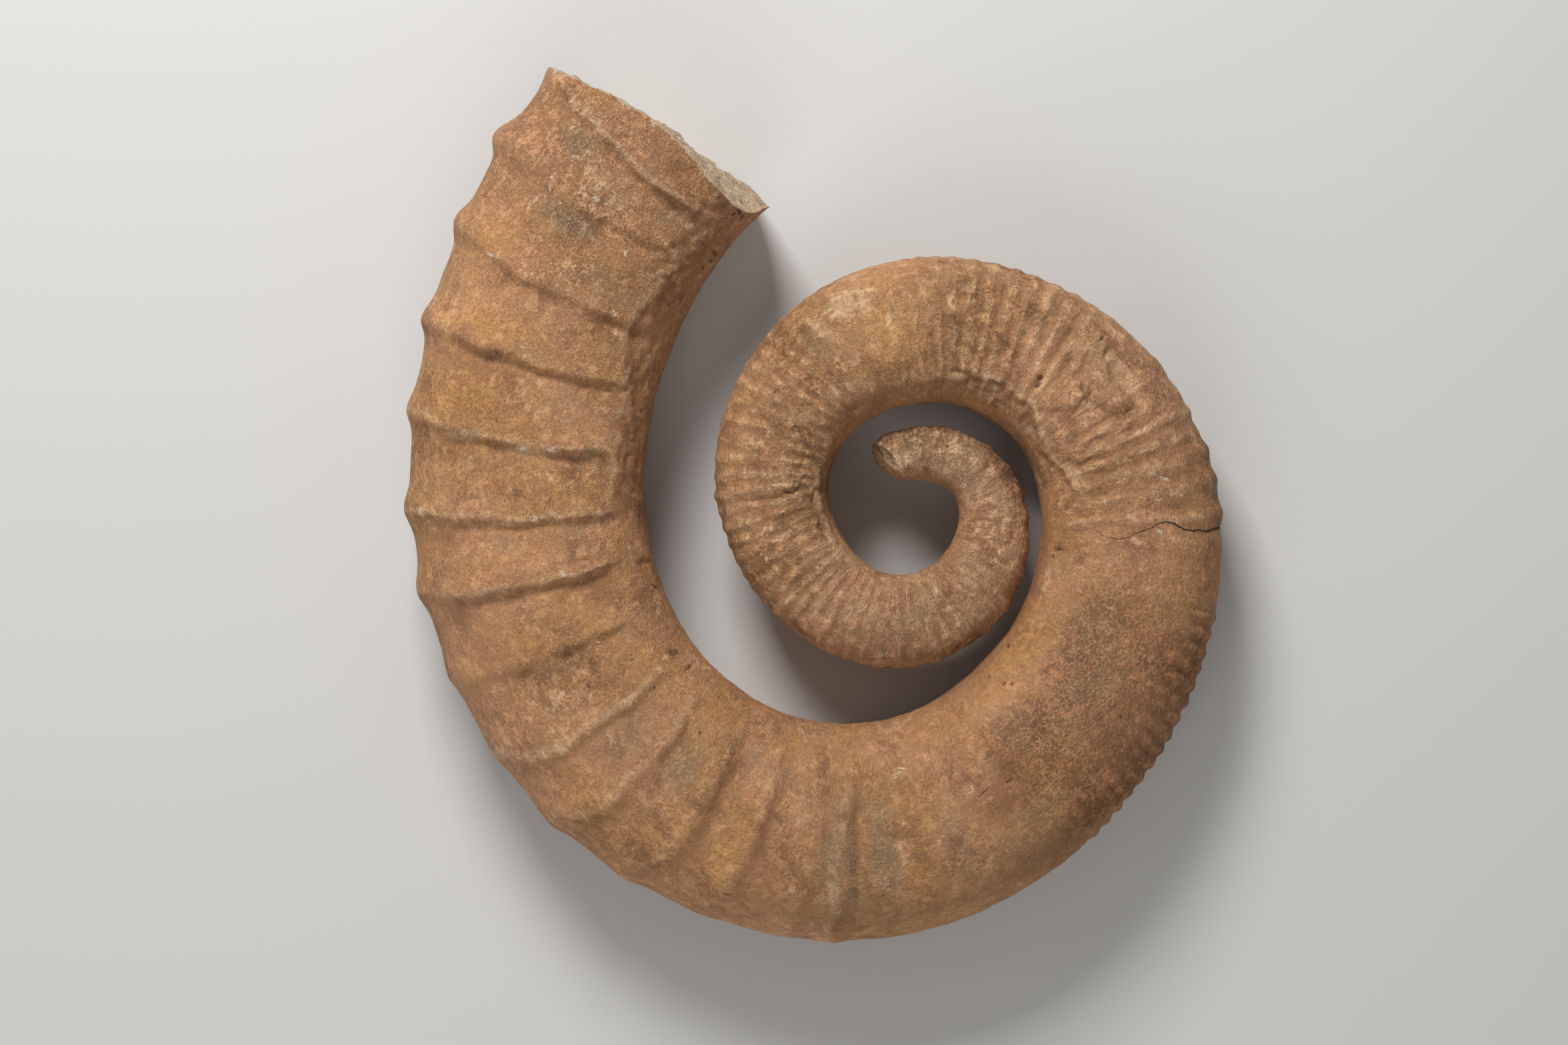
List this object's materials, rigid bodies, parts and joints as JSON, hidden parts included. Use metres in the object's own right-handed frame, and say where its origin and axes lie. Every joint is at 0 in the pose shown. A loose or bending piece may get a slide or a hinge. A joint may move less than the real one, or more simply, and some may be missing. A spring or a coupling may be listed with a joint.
{
  "type": "fossil ammonite",
  "caption": "Loosely coiled fossil ammonite of brown stone: an open ribbed spiral tube that widens into a bent, knobbed shaft with a broken end, lying on its flank.",
  "frame": {"origin": "centre of the outline's bounding box, on the surface that the fossil lies on", "axes": "+Z up, out of the upper flank; +Y along the greatest length, towards the broken open end; +X to the right seen from above with +Y up"},
  "size_m": [0.4316, 0.4598, 0.1015],
  "materials": {
    "fossil_stone": "matt, brown, weathered"
  },
  "bodies": {
    "root": {"ammonite": "fossil_stone"}
  },
  "joints": []
}
